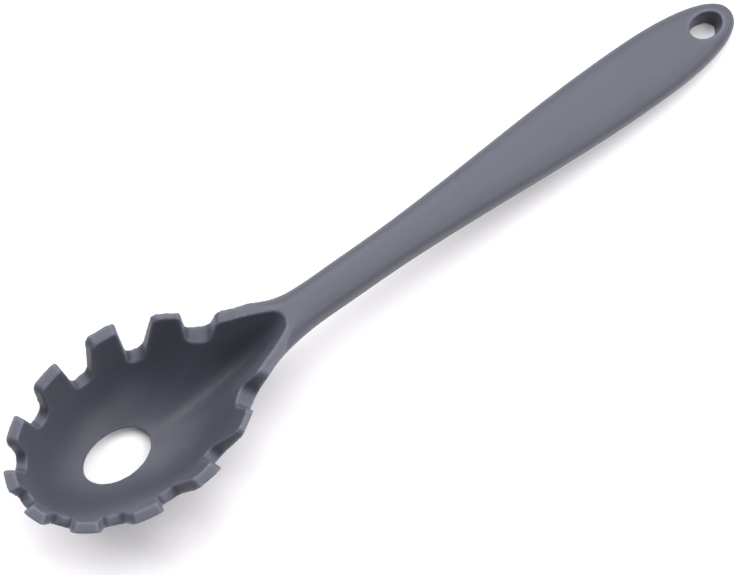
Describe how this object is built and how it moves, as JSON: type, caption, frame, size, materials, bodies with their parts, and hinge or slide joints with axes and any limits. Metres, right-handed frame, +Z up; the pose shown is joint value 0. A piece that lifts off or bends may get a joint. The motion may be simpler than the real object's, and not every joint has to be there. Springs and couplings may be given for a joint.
{
  "type": "pasta server",
  "caption": "Long-handled toothed serving bowl with an oval drain hole and an oval hanging hole, for lifting and draining pasta.",
  "frame": {"origin": "middle of the overall length, on the table plane that the resting server touches", "axes": "+X along the handle from the bowl's front to the handle's end, +Y across, +Z up out of the bowl's mouth"},
  "size_m": [0.29, 0.0606, 0.0349],
  "materials": {
    "silicone": "matte slate-grey silicone",
    "nylon": "moulded glass-filled nylon",
    "steel": "plain stainless strip"
  },
  "bodies": {
    "root": {"silicone_jacket": "silicone", "nylon_core": "nylon", "steel_strip": "steel"}
  },
  "joints": []
}
